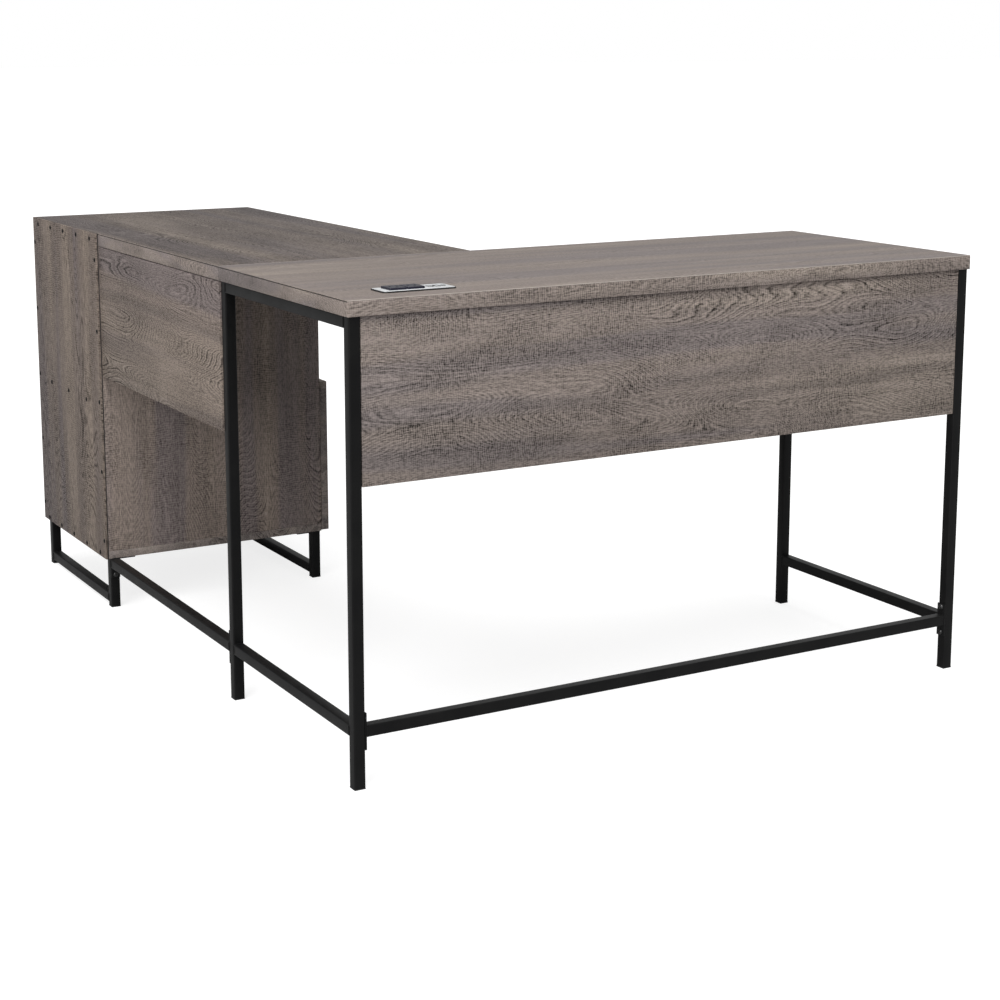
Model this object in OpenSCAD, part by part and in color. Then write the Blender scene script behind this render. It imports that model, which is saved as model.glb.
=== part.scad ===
// L-shaped corner desk: a main top on two welded steel end frames, a return top on a
// pedestal with an open cubby over a file drawer, modesty panels, and a power unit.
// X runs along the main top, Y along the return, Z up. Millimetres.

/* [Desk] */
// Overall width, along the main top
desk_w = 1220; // [900:10:1800]
// Overall length, along the return
desk_l = 1550; // [1200:10:1900]
// Height of the work surface
desk_h = 762; // [680:1:920]

/* [Tops] */
// Front-to-back depth of the main top
main_d = 508; // [420:1:760]
// Front-to-back depth of the return top
return_d = 488; // [380:1:640]
// Thickness of both tops
top_t = 25; // [18:0.5:38]

/* [Steel frames] */
// Outside of the square tube
tube = 19; // [16:0.5:40]
// Wall of the square tube
tube_wall = 1.5; // [1:0.1:3]
// How far the frames stand back from the tops' edges
inset = 3; // [1:0.5:10]
// Height of the underside of the low rails and stretchers
low_rail_z = 83; // [62:1:180]
// Thickness of the end plates on the stretchers
end_plate_t = 3; // [2:0.5:6]
// Height of a full end plate
end_plate_h = 60; // [54:1:90]
// Height of the foot caps' flange
foot_t = 2.5; // [1.5:0.5:6]

/* [Modesty panels] */
// Height of both modesty panels
modesty_h = 260; // [150:5:450]
// Thickness of the modesty panels
modesty_t = 16; // [12:0.5:22]

/* [Pedestal] */
// Width of the pedestal, along Y
ped_w = 412; // [340:1:560]
// Thickness of the carcass boards
board_t = 16; // [15:0.5:22]
// Thickness of the screwed-on back panel
back_t = 6; // [4:0.5:12]
// Height of the shelf's underside above the carcass bottom board's underside
shelf_rise = 307; // [290:1:360]
// Underside of the sled rail above the floor
sled_rail_z = 8; // [5:1:20]
// Length of the screw tabs beyond the sled legs
tab_l = 34; // [24:1:60]

/* [Drawer] */
// Thickness of the drawer front
front_t = 16; // [12:0.5:22]
// Gap between the drawer front and the carcass
front_gap = 1; // [0.5:0.1:3]
// Length of the drawer box and of its slides
box_l = 450; // [350:10:500]
// Height of the drawer box
box_h = 250; // [200:1:260]
// Thickness of the drawer box boards
box_t = 12; // [10:0.5:16]
// Thickness of the drawer's bottom sheet
sheet_t = 4; // [3:0.5:6]
// Room for one slide beside the drawer box
slide_gap = 13; // [12.7:0.1:14]
// Distance between the hanging-file rails
file_span = 311; // [300:1:316]
// Distance between the pull's screws
pull_pitch = 128; // [96:32:224]

/* [Power unit] */
// Length of the faceplate
unit_l = 127; // [110:1:160]
// Width of the faceplate
unit_w = 51; // [46:1:70]
// Faceplate's left end from the desk's left edge
unit_x = 84; // [60:1:300]
// Faceplate's near side from the visitor's edge
unit_y = 48; // [40:1:200]

/* [Hidden] */
$fn = 48;

laminate = [0.52, 0.49, 0.46];
black_steel = [0.12, 0.12, 0.13];
zinc = [0.74, 0.75, 0.77];
white_board = [0.86, 0.85, 0.82];
beech = [0.80, 0.66, 0.47];
black_plastic = [0.07, 0.07, 0.08];
grey_plastic = [0.66, 0.67, 0.68];

// small clearances
fit_gap = 0.1;
board_gap = 1;
cut = 1;

// levels and places
top_z = desk_h - top_t;
rail_top_z = low_rail_z + tube;
near_y = inset;
far_y = main_d - inset - tube;
left_x = inset;
right_x = desk_w - inset - tube;
ped_y = desk_l - ped_w;
ped_z = rail_top_z;
shelf_z = ped_z + shelf_rise;
carcass_d = return_d - front_t - front_gap;
modesty_z = top_z - modesty_h;
post_bore = tube - 2 * tube_wall;

// fasteners: shank radius, head radius, head height
bolt_r = 3;
bolt_head_r = 5.2;
bolt_head_h = 3;
bolt_l = 10;
wood_r = 2;
wood_head_r = 4;
wood_head_h = 1.6;
plate_bolt_off = end_plate_h / 2 - 6.5;
plate_mid_z = low_rail_z + tube / 2;

// knock-down fittings
cam_r = 7.5;
cam_h = 12.5;
cam_edge = 24;
cam_inset = 60;
cam_shank_r = 3.4;
cam_thread_r = 2.5;
cam_thread_l = 11;
dowel_r = 4;
dowel_l = 24;

// back panel screw pattern
row_inset = 36;
row_count = 5;
col_rise = 37;
col_top_drop = 53;
csk_r = 3.5;
csk_h = 2.5;
panel_screw_l = 25;

// sled legs
sled_inset_x = 3;
sled_inset_y = 2;
tab_t = 2.5;
sled_near_y = ped_y + sled_inset_y;
sled_far_y = desk_l - sled_inset_y - tube;
rear_leg_x = sled_inset_x;
front_leg_x = carcass_d - sled_inset_x - tube;
tab_hole_off = 12;

// drawer
bay_y = ped_y + board_t;
bay_w = ped_w - 2 * board_t;
box_y = bay_y + slide_gap;
box_w = bay_w - 2 * slide_gap;
front_x = return_d - front_t;
box_x = front_x - box_l;
box_z = ped_z + board_t + 6;
box_top = box_z + box_h;
groove_z = box_z + 6;
groove_d = 5;
slide_z = box_z + 90;
ped_mid_y = ped_y + ped_w / 2;
front_low_z = ped_z + 1.5;
front_top_z = shelf_z + board_t;
pull_z = front_top_z - 70;
pull_bar = 10;
pull_reach = 30;
rail_t = 2;
rail_h = 16;
rail_slot = 8;

// slide members: web thickness, member heights and how far the lips reach
web = 1.2;
cab_h = 45;
mid_h = 37.4;
drw_h = 29.8;
lip_cab = 9.5;
mid_off = 3.2;
lip_mid = 7.8;
lip_drw = 7;
slide_screw_x = [35, 190, 380];
cab_screw_dz = 0;

// underside hardware
bracket_leg = 24;
bracket_w = 30;
bracket_t = 2;
bracket_hole = 15;
main_bracket_x = [desk_w * 0.2, desk_w * 0.5, desk_w * 0.8];
return_run = ped_y - main_d;
return_bracket_y = [main_d + return_run * 0.3, main_d + return_run * 0.75];
seam_plate_l = 120;
seam_plate_w = 30;
seam_plate_t = 2;
seam_plate_x = [return_d * 0.35, return_d * 0.75];
seam_hole_off = [20, 45];

// power unit
plate_t = 2.5;
plate_r = 7;
body_margin = 6;
body_l = unit_l - 2 * body_margin;
body_w = unit_w - 2 * body_margin;
body_r = 4;
body_h = 48;
body_wall = 2;
cutout_gap = 1.5;
unit_mid = [unit_x + unit_l / 2, unit_y + unit_w / 2];
socket_l = 29;
socket_w = 33;
socket_h = 16;
socket_rise = 3.5;
socket_off = [-34, -3];
port_off = [28, 40, 51.5];
port_l = [9, 9, 7];
port_w = [15, 15, 8];
port_h = 12;
blade = [2, 7];
clamp_w = 18;
clamp_t = 1.5;
gland_r = 6;
gland_bore = 3.6;
gland_l = 14;

// the whole desk is centred on its footprint, standing on Z = 0
x_mid = (desk_w - back_t) / 2;
y_mid = desk_l / 2;

module place() {
    translate([-x_mid, -y_mid, 0]) children();
}

module block(from, size) {
    translate(from) cube(size);
}

// a pan-head screw: head below z = 0, shank above it
module pan_screw(len, shank = wood_r, head = wood_head_r, rise = wood_head_h) {
    cylinder(h = len, r = shank);
    translate([0, 0, -rise]) cylinder(h = rise, r1 = head * 0.75, r2 = head);
}

// a countersunk screw: head's flat face at z = 0
module csk_screw(len, shank) {
    cylinder(h = csk_h, r1 = csk_r, r2 = shank);
    translate([0, 0, csk_h]) cylinder(h = len - csk_h, r = shank);
}

module to_x() { rotate([0, 90, 0]) children(); }
module to_minus_x() { rotate([0, -90, 0]) children(); }
module to_y() { rotate([-90, 0, 0]) children(); }
module to_minus_y() { rotate([90, 0, 0]) children(); }

module rounded_slab(size, r) {
    linear_extrude(size[2])
        polygon([for (c = [[1, 1, 0], [-1, 1, 90], [-1, -1, 180], [1, -1, 270]])
            for (a = [0 : 15 : 90])
                [c[0] * (size[0] / 2 - r) + r * cos(c[2] + a),
                 c[1] * (size[1] / 2 - r) + r * sin(c[2] + a)]]);
}

// ---- tops ----

module at_frame_screws() {
    for (x = [left_x + tube / 2, right_x + tube / 2])
        for (k = [0.15, 0.5, 0.85])
            translate([x, near_y + tube + k * (far_y - near_y - tube), top_z]) children();
}

module at_main_brackets() {
    for (x = main_bracket_x) translate([x, near_y + 1 + modesty_t, top_z]) children();
}

module at_return_brackets() {
    for (y = return_bracket_y) translate([modesty_t, y, top_z]) rotate([0, 0, -90]) children();
}

module at_seam_screws(side) {
    for (x = seam_plate_x)
        for (d = seam_hole_off) translate([x, main_d + side * d, top_z]) children();
}

module top_pilot() { cylinder(h = 14, r = wood_r); }

module main_top() {
    color(laminate) place() difference() {
        block([0, 0, top_z], [desk_w, main_d, top_t]);
        translate([unit_mid[0], unit_mid[1], top_z - cut])
            rounded_slab([body_l + 2 * cutout_gap, body_w + 2 * cutout_gap, top_t + 2 * cut],
                body_r + cutout_gap);
        at_frame_screws() top_pilot();
        at_main_brackets() translate([0, bracket_hole, 0]) top_pilot();
        at_seam_screws(-1) top_pilot();
    }
}

module return_top() {
    color(laminate) place() difference() {
        block([0, main_d, top_z], [return_d, desk_l - main_d, top_t]);
        at_return_brackets() translate([0, bracket_hole, 0]) top_pilot();
        at_seam_screws(1) top_pilot();
        at_side_cams() translate([0, 0, top_z]) cylinder(h = cam_thread_l, r = cam_thread_r);
        at_side_dowels() translate([0, 0, top_z]) cylinder(h = dowel_l / 2, r = dowel_r);
        at_top_row() panel_pilot();
    }
}

// ---- welded end frames and stretchers ----

module frame_tubes(x, trim) {
    size = tube - 2 * trim;
    low = trim > 0 ? foot_t - cut : foot_t;
    for (y = [near_y, far_y])
        block([x + trim, y + trim, low], [size, size, top_z - trim - low]);
    for (z = [low_rail_z, top_z - tube])
        block([x + trim, near_y + trim, z + trim], [size, far_y - near_y + size, size]);
}

module frame_rail_holes() {
    at_frame_screws() translate([0, 0, -tube - cut])
        cylinder(h = tube + 2 * cut, r = wood_r + fit_gap);
}

module at_visitor_bolts(side) {
    x = side < 0 ? left_x + tube : right_x;
    for (dz = [-plate_bolt_off, plate_bolt_off])
        translate([x, near_y + tube / 2, plate_mid_z + dz]) children();
}

module at_return_post_bolts() {
    for (dz = [-plate_bolt_off, plate_bolt_off])
        translate([left_x + tube / 2, far_y + tube, plate_mid_z + dz]) children();
}

module at_return_leg_bolt() {
    translate([left_x + tube / 2, sled_near_y, plate_mid_z - plate_bolt_off]) children();
}

module left_end_frame() {
    color(black_steel) place() difference() {
        frame_tubes(left_x, 0);
        frame_tubes(left_x, tube_wall);
        frame_rail_holes();
        at_visitor_bolts(-1) to_minus_x() translate([0, 0, -cut]) cylinder(h = bolt_l, r = bolt_r);
        at_return_post_bolts() to_minus_y() translate([0, 0, -cut])
            cylinder(h = bolt_l, r = bolt_r);
    }
}

module right_end_frame() {
    color(black_steel) place() difference() {
        frame_tubes(right_x, 0);
        frame_tubes(right_x, tube_wall);
        frame_rail_holes();
        at_visitor_bolts(1) to_x() translate([0, 0, -cut]) cylinder(h = bolt_l, r = bolt_r);
    }
}

// a plastic plug with a flange the size of the tube
module foot_cap(x, y) {
    plug = post_bore - 2 * fit_gap;
    block([x, y, 0], [tube, tube, foot_t]);
    block([x + tube_wall + fit_gap, y + tube_wall + fit_gap, foot_t], [plug, plug, 14]);
}

module post_foot_caps() {
    color(black_plastic) place()
        for (x = [left_x, right_x], y = [near_y, far_y]) foot_cap(x, y);
}

module end_plate_x(x, top) {
    low = plate_mid_z - end_plate_h / 2;
    block([x, near_y, low], [end_plate_t, tube, top - low]);
}

module visitor_stretcher() {
    from = left_x + tube;
    to = right_x;
    high = plate_mid_z + end_plate_h / 2;
    color(black_steel) place() difference() {
        union() {
            block([from, near_y, low_rail_z], [to - from, tube, tube]);
            end_plate_x(from, high);
            end_plate_x(to - end_plate_t, high);
        }
        block([from + end_plate_t, near_y + tube_wall, low_rail_z + tube_wall],
            [to - from - 2 * end_plate_t, post_bore, post_bore]);
        translate([(from + to) / 2, near_y + tube / 2, low_rail_z - cut])
            cylinder(h = tube_wall + 2 * cut, r = 3);
        at_visitor_bolts(-1) to_x() translate([0, 0, -cut])
            cylinder(h = end_plate_t + 2 * cut, r = bolt_r + fit_gap);
        at_visitor_bolts(1) to_minus_x() translate([0, 0, -cut])
            cylinder(h = end_plate_t + 2 * cut, r = bolt_r + fit_gap);
    }
}

module end_plate_y(y, top) {
    low = plate_mid_z - end_plate_h / 2;
    block([left_x, y, low], [tube, end_plate_t, top - low]);
}

module return_stretcher() {
    from = far_y + tube;
    to = sled_near_y;
    color(black_steel) place() difference() {
        union() {
            block([left_x, from, low_rail_z], [tube, to - from, tube]);
            end_plate_y(from, plate_mid_z + end_plate_h / 2);
            end_plate_y(to - end_plate_t, rail_top_z);
        }
        block([left_x + tube_wall, from + end_plate_t, low_rail_z + tube_wall],
            [post_bore, to - from - 2 * end_plate_t, post_bore]);
        translate([left_x + tube / 2, (from + to) / 2, low_rail_z - cut])
            cylinder(h = tube_wall + 2 * cut, r = 3);
        at_return_post_bolts() to_y() translate([0, 0, -cut])
            cylinder(h = end_plate_t + 2 * cut, r = bolt_r + fit_gap);
        at_return_leg_bolt() to_minus_y() translate([0, 0, -cut])
            cylinder(h = end_plate_t + 2 * cut, r = bolt_r + fit_gap);
    }
}

// a domed bolt whose head bears on an end plate: shank up, head below z = 0
module plate_bolt() {
    translate([0, 0, -end_plate_t]) difference() {
        union() {
            cylinder(h = bolt_l + end_plate_t - cut, r = bolt_r);
            translate([0, 0, -bolt_head_h])
                cylinder(h = bolt_head_h, r1 = bolt_head_r * 0.7, r2 = bolt_head_r);
        }
        translate([0, 0, -bolt_head_h - cut]) cylinder(h = cut + 2, r = 2, $fn = 6);
    }
}

module stretcher_bolts() {
    color(black_steel) place() {
        at_visitor_bolts(-1) to_minus_x() plate_bolt();
        at_visitor_bolts(1) to_x() plate_bolt();
        at_return_post_bolts() to_minus_y() plate_bolt();
        at_return_leg_bolt() to_y() plate_bolt();
    }
}

module frame_top_screws() {
    color(black_steel) place()
        at_frame_screws() translate([0, 0, -tube]) pan_screw(tube + 13);
}

// ---- modesty panels and their brackets ----

module main_modesty_panel() {
    from = left_x + tube + board_gap;
    color(laminate) place() difference() {
        block([from, near_y + 1, modesty_z], [right_x - board_gap - from, modesty_t, modesty_h]);
        at_main_brackets() translate([0, 0, -bracket_hole]) to_minus_y() cylinder(h = 12, r = wood_r);
    }
}

module return_modesty_panel() {
    from = far_y + tube + board_gap;
    color(laminate) place() difference() {
        block([0, from, modesty_z], [modesty_t, ped_y - board_gap - from, modesty_h]);
        at_return_brackets() translate([0, 0, -bracket_hole]) to_minus_y() cylinder(h = 12, r = wood_r);
    }
}

// an angle bracket: one leg against the panel, the other under the top
module bracket() {
    difference() {
        union() {
            block([-bracket_w / 2, 0, -bracket_leg], [bracket_w, bracket_t, bracket_leg]);
            block([-bracket_w / 2, 0, -bracket_t], [bracket_w, bracket_leg, bracket_t]);
        }
        translate([0, -cut, -bracket_hole]) to_y() cylinder(h = 4 * cut, r = wood_r + fit_gap);
        translate([0, bracket_hole, -3 * cut]) cylinder(h = 4 * cut, r = wood_r + fit_gap);
    }
}

module corner_brackets() {
    color(zinc) place() {
        at_main_brackets() bracket();
        at_return_brackets() bracket();
    }
}

module bracket_screw_pair() {
    translate([0, bracket_t, -bracket_hole]) to_minus_y() pan_screw(12);
    translate([0, bracket_hole, -bracket_t]) pan_screw(14);
}

module bracket_screws() {
    color(zinc) place() {
        at_main_brackets() bracket_screw_pair();
        at_return_brackets() bracket_screw_pair();
    }
}

module seam_plates() {
    color(zinc) place() difference() {
        for (x = seam_plate_x)
            block([x - seam_plate_w / 2, main_d - seam_plate_l / 2, top_z - seam_plate_t],
                [seam_plate_w, seam_plate_l, seam_plate_t]);
        for (side = [-1, 1])
            at_seam_screws(side) translate([0, 0, -2 * seam_plate_t])
                cylinder(h = 3 * seam_plate_t, r = wood_r + fit_gap);
    }
}

module seam_plate_screws() {
    color(zinc) place()
        for (side = [-1, 1]) at_seam_screws(side) translate([0, 0, -seam_plate_t]) pan_screw(14);
}

// ---- pedestal carcass ----

module panel_pilot() { to_x() cylinder(h = panel_screw_l - back_t, r = wood_r * 0.9); }

row_pitch = (ped_w - 2 * row_inset) / (row_count - 1);
col_pitch = (desk_h - col_top_drop - ped_z - col_rise) / (row_count - 1);

module at_top_row() {
    for (i = [0 : row_count - 1])
        translate([0, ped_y + row_inset + i * row_pitch, desk_h - top_t / 2]) children();
}

module at_bottom_row() {
    for (i = [0 : row_count - 1])
        translate([0, ped_y + row_inset + i * row_pitch, ped_z + board_t / 2]) children();
}

module at_shelf_row() {
    for (i = [-1, 0, 1])
        translate([0, ped_mid_y + i * (ped_w * 0.28), shelf_z + board_t / 2]) children();
}

module at_column(y) {
    for (i = [0 : row_count - 1]) translate([0, y, ped_z + col_rise + i * col_pitch]) children();
}

module at_all_panel_screws() {
    at_top_row() children();
    at_bottom_row() children();
    at_shelf_row() children();
    at_column(ped_y + board_t / 2) children();
    at_column(desk_l - board_t / 2) children();
}

// vertical fittings that join the side boards to the return top and to the bottom board
module at_side_cams() {
    for (x = [cam_inset, carcass_d - cam_inset], y = [ped_y + board_t / 2, desk_l - board_t / 2])
        translate([x, y, 0]) children();
}

module at_side_dowels() {
    for (y = [ped_y + board_t / 2, desk_l - board_t / 2])
        translate([carcass_d / 2, y, 0]) children();
}

// fittings that join the shelf to the side boards; children point along +Y out of the shelf
module at_shelf_cams() {
    for (x = [cam_inset, carcass_d - cam_inset], side = [0, 1])
        translate([x, side == 0 ? bay_y : bay_y + bay_w, shelf_z + board_t / 2])
            rotate([0, 0, side == 0 ? 180 : 0]) children();
}

module at_shelf_dowels() {
    for (side = [0, 1])
        translate([carcass_d / 2, side == 0 ? bay_y : bay_y + bay_w, shelf_z + board_t / 2])
            rotate([0, 0, side == 0 ? 180 : 0]) children();
}

module side_board(y, inward) {
    low = ped_z + board_t;
    difference() {
        block([0, y, low], [carcass_d, board_t, top_z - low]);
        for (end = [0, 1]) {
            edge = end == 0 ? low : top_z;
            cam_z = end == 0 ? low + cam_edge : top_z - cam_edge;
            for (x = [cam_inset, carcass_d - cam_inset]) {
                translate([x, y + board_t / 2, min(edge, cam_z) - (end == 0 ? cut : 0)])
                    cylinder(h = cam_edge + cut, r = cam_shank_r + fit_gap);
                translate([x, inward > 0 ? y + board_t + cut : y - cut, cam_z])
                    rotate([inward > 0 ? 90 : -90, 0, 0])
                        cylinder(h = cam_h + fit_gap + cut, r = cam_r + fit_gap);
            }
            translate([carcass_d / 2, y + board_t / 2, edge - dowel_l / 2])
                cylinder(h = dowel_l, r = dowel_r);
        }
        at_shelf_cams() to_y() cylinder(h = cam_thread_l, r = cam_thread_r);
        at_shelf_dowels() to_y() cylinder(h = dowel_l / 2, r = dowel_r);
        at_column(y + board_t / 2) panel_pilot();
        for (x = slide_screw_x)
            translate([box_x + x, inward > 0 ? y + board_t + cut : y - cut, slide_z])
                rotate([inward > 0 ? 90 : -90, 0, 0]) cylinder(h = 10 + cut, r = wood_r);
    }
}

module pedestal_near_side() { color(laminate) place() side_board(ped_y, 1); }
module pedestal_far_side() { color(laminate) place() side_board(desk_l - board_t, -1); }

module at_tab_screws() {
    for (y = [sled_near_y, sled_far_y]) {
        translate([rear_leg_x + tube + tab_l - tab_hole_off, y + tube / 2, ped_z]) children();
        translate([front_leg_x - tab_l + tab_hole_off, y + tube / 2, ped_z]) children();
    }
}

module pedestal_bottom() {
    color(laminate) place() difference() {
        block([0, ped_y, ped_z], [carcass_d, ped_w, board_t]);
        at_bottom_row() panel_pilot();
        at_side_cams() translate([0, 0, ped_z + board_t - cam_thread_l])
            cylinder(h = cam_thread_l + cut, r = cam_thread_r);
        at_side_dowels() translate([0, 0, ped_z + board_t - dowel_l / 2])
            cylinder(h = dowel_l / 2 + cut, r = dowel_r);
        at_tab_screws() translate([0, 0, -cut]) cylinder(h = 12 + cut, r = wood_r);
    }
}

module pedestal_shelf() {
    color(laminate) place() difference() {
        block([0, bay_y, shelf_z], [carcass_d, bay_w, board_t]);
        at_shelf_row() panel_pilot();
        at_shelf_cams() {
            translate([0, cut, 0]) to_minus_y() cylinder(h = cam_edge + cut, r = cam_shank_r + fit_gap);
            translate([0, -cam_edge, -board_t / 2 - cut])
                cylinder(h = cam_h + fit_gap + cut, r = cam_r + fit_gap);
        }
        at_shelf_dowels() translate([0, cut, 0]) to_minus_y() cylinder(h = dowel_l / 2 + cut, r = dowel_r);
    }
}

module pedestal_back() {
    color(laminate) place() difference() {
        block([-back_t, ped_y, ped_z], [back_t, ped_w, desk_h - ped_z]);
        at_all_panel_screws() translate([-back_t, 0, 0]) to_x() {
            translate([0, 0, -cut]) cylinder(h = cut, r = csk_r);
            cylinder(h = csk_h, r1 = csk_r, r2 = wood_r);
            cylinder(h = back_t + cut, r = wood_r);
        }
    }
}

module back_panel_screws() {
    color(black_steel) place()
        at_all_panel_screws() translate([-back_t, 0, 0]) to_x()
            csk_screw(panel_screw_l - 1, wood_r * 0.9);
}

// a cam whose slotted face is at z = 0, with its bolt's channel along +X
module cam_lock() {
    difference() {
        cylinder(h = cam_h, r = cam_r);
        translate([0, 0, board_t / 2]) to_x() cylinder(h = cam_r + cut, r = cam_shank_r + fit_gap);
        translate([0, 0, -cut]) cylinder(h = cut + 2, r = 2.4, $fn = 6);
    }
}

module cam_locks() {
    color(zinc) place() {
        for (x = [cam_inset, carcass_d - cam_inset], side = [0, 1], end = [0, 1])
            translate([x, side == 0 ? bay_y : bay_y + bay_w,
                end == 0 ? ped_z + board_t + cam_edge : top_z - cam_edge])
                rotate([side == 0 ? 90 : -90, 0, 0])
                    rotate([0, 0, (side == 0) == (end == 0) ? -90 : 90]) cam_lock();
        at_shelf_cams() translate([0, -cam_edge, -board_t / 2]) rotate([0, 0, 90]) cam_lock();
    }
}

// threaded into the mating board below z = 0, smooth shank reaching into the cam above
module cam_bolt() {
    translate([0, 0, -cam_thread_l]) cylinder(h = cam_thread_l, r = cam_thread_r);
    cylinder(h = cam_edge - 1, r = cam_shank_r);
}

module cam_bolts() {
    color(zinc) place() {
        at_side_cams() {
            translate([0, 0, ped_z + board_t]) cam_bolt();
            translate([0, 0, top_z]) rotate([180, 0, 0]) cam_bolt();
        }
        at_shelf_cams() to_minus_y() cam_bolt();
    }
}

module wood_dowels() {
    module dowel() { translate([0, 0, 0.5 - dowel_l / 2]) cylinder(h = dowel_l - 1, r = dowel_r); }
    color(beech) place() {
        at_side_dowels() {
            translate([0, 0, ped_z + board_t]) dowel();
            translate([0, 0, top_z]) dowel();
        }
        at_shelf_dowels() to_y() dowel();
    }
}

// ---- sled legs ----

module sled_tubes(x, trim) {
    size = tube - 2 * trim;
    low = trim > 0 ? foot_t - cut : foot_t;
    for (y = [sled_near_y, sled_far_y])
        block([x + trim, y + trim, low], [size, size, ped_z - tab_t - low]);
    block([x + trim, sled_near_y + trim, sled_rail_z + trim],
        [size, sled_far_y - sled_near_y + size, size]);
}

module sled_leg(x, inward) {
    tab_x = inward > 0 ? x : x - tab_l;
    difference() {
        union() {
            sled_tubes(x, 0);
            for (y = [sled_near_y, sled_far_y])
                block([tab_x, y, ped_z - tab_t], [tube + tab_l, tube, tab_t]);
        }
        sled_tubes(x, tube_wall);
        at_tab_screws() translate([0, 0, -tab_t - cut])
            cylinder(h = tab_t + 2 * cut, r = wood_r + fit_gap);
    }
}

module rear_sled_leg() {
    color(black_steel) place() difference() {
        sled_leg(rear_leg_x, 1);
        at_return_leg_bolt() to_y() translate([0, 0, -cut]) cylinder(h = bolt_l, r = bolt_r);
    }
}

module front_sled_leg() { color(black_steel) place() sled_leg(front_leg_x, -1); }

module sled_foot_cap(x, y) {
    plug = post_bore - 2 * fit_gap;
    block([x, y, 0], [tube, tube, foot_t]);
    block([x + tube_wall + fit_gap, y + tube_wall + fit_gap, foot_t], [plug, plug, 5]);
}

module sled_foot_caps() {
    color(black_plastic) place()
        for (x = [rear_leg_x, front_leg_x], y = [sled_near_y, sled_far_y]) sled_foot_cap(x, y);
}

module sled_screws() {
    color(black_steel) place() at_tab_screws() translate([0, 0, -tab_t]) pan_screw(14);
}

// ---- drawer ----

module at_front_screws() {
    for (dy = [-110, 110], dz = [50, 150])
        translate([front_x - box_t, ped_mid_y + dy, box_z + dz]) children();
}

module at_pull_screws() {
    for (side = [-1, 1])
        translate([front_x - box_t, ped_mid_y + side * pull_pitch / 2, pull_z]) children();
}

module at_slide_screws(x0) {
    for (x = slide_screw_x) translate([x0 + x, 0, slide_z]) children();
}

module bottom_groove() {
    block([box_x + box_t - groove_d, box_y + box_t - groove_d, groove_z],
        [box_l - 2 * (box_t - groove_d), box_w - 2 * (box_t - groove_d), sheet_t + fit_gap]);
}

// screws through the box sides into the ends of the box front and back
module at_corner_screws() {
    for (x = [box_x + box_t / 2, front_x - box_t / 2], dz = [30, box_h - 30], side = [0, 1])
        translate([x, side == 0 ? box_y : box_y + box_w, box_z + dz])
            rotate([side == 0 ? -90 : 90, 0, 0]) children();
}

module box_side(y) {
    difference() {
        block([box_x, y, box_z], [box_l, box_t, box_h]);
        bottom_groove();
        at_corner_screws() {
            cylinder(h = csk_h, r1 = csk_r, r2 = wood_r * 0.9);
            cylinder(h = box_t + cut, r = wood_r * 0.9);
        }
        at_slide_screws(box_x) translate([0, y - cut, 0]) to_y() cylinder(h = box_t + 2 * cut, r = wood_r);
    }
}

module drawer_near_side() { color(white_board) place() box_side(box_y); }
module drawer_far_side() { color(white_board) place() box_side(box_y + box_w - box_t); }

module file_slots() {
    for (side = [-1, 1])
        block([box_x + box_t - rail_slot - fit_gap,
            ped_mid_y + side * file_span / 2 - rail_t / 2 - fit_gap, box_top - rail_h + 4],
            [box_l - 2 * (box_t - rail_slot - fit_gap), rail_t + 2 * fit_gap, rail_h]);
}

module box_end(x) {
    difference() {
        block([x, box_y + box_t, box_z], [box_t, box_w - 2 * box_t, box_h]);
        bottom_groove();
        file_slots();
        at_corner_screws() cylinder(h = 38, r = wood_r * 0.9);
    }
}

module drawer_back() { color(white_board) place() box_end(box_x); }

module drawer_box_front() {
    color(white_board) place() difference() {
        box_end(front_x - box_t);
        at_front_screws() translate([-cut, 0, 0]) to_x() cylinder(h = box_t + 2 * cut, r = wood_r);
        at_pull_screws() translate([-cut, 0, 0]) to_x() cylinder(h = box_t + 2 * cut, r = wood_r);
    }
}

module drawer_bottom() {
    slack = 0.5;
    from = box_t - groove_d + slack;
    color(white_board) place()
        block([box_x + from, box_y + from, groove_z], [box_l - 2 * from, box_w - 2 * from, sheet_t]);
}

module drawer_front() {
    color(laminate) place() difference() {
        block([front_x, ped_y + board_gap, front_low_z],
            [front_t, ped_w - 2 * board_gap, front_top_z - front_low_z]);
        at_front_screws() translate([box_t - cut, 0, 0]) to_x() cylinder(h = 11 + cut, r = wood_r);
        at_pull_screws() to_x() cylinder(h = box_t + front_t + cut, r = wood_r);
    }
}

module drawer_box_screws() {
    color(zinc) place() at_corner_screws() csk_screw(37, wood_r * 0.9);
}

module drawer_front_screws() {
    color(zinc) place() at_front_screws() to_x() pan_screw(box_t + 10);
}

module pull_screws() {
    color(zinc) place() at_pull_screws() to_x() pan_screw(box_t + front_t + 8);
}

// a square bar on two square posts
module drawer_pull() {
    low = pull_z - pull_bar / 2;
    span = pull_pitch + pull_bar;
    color(black_steel) place() difference() {
        union() {
            block([return_d + pull_reach - pull_bar, ped_mid_y - span / 2, low],
                [pull_bar, span, pull_bar]);
            for (side = [-1, 1])
                block([return_d, ped_mid_y + side * pull_pitch / 2 - pull_bar / 2, low],
                    [pull_reach, pull_bar, pull_bar]);
        }
        at_pull_screws() to_x() cylinder(h = box_t + front_t + 9, r = wood_r);
    }
}

module file_rails() {
    color(zinc) place()
        for (side = [-1, 1])
            block([box_x + box_t - rail_slot, ped_mid_y + side * file_span / 2 - rail_t / 2,
                box_top - rail_h + 4], [box_l - 2 * (box_t - rail_slot), rail_t, rail_h]);
}

// ---- telescopic slides: profiles lie in Y-Z, Y = 0 on the cabinet side ----

module slide_member(x0, y0, h, lip, flip) {
    translate([x0, y0, slide_z]) mirror([0, flip, 0]) {
        block([0, 0, -h / 2], [box_l, web, h]);
        for (z = [-h / 2, h / 2 - web]) block([0, 0, z], [box_l, lip, web]);
    }
}

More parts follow.
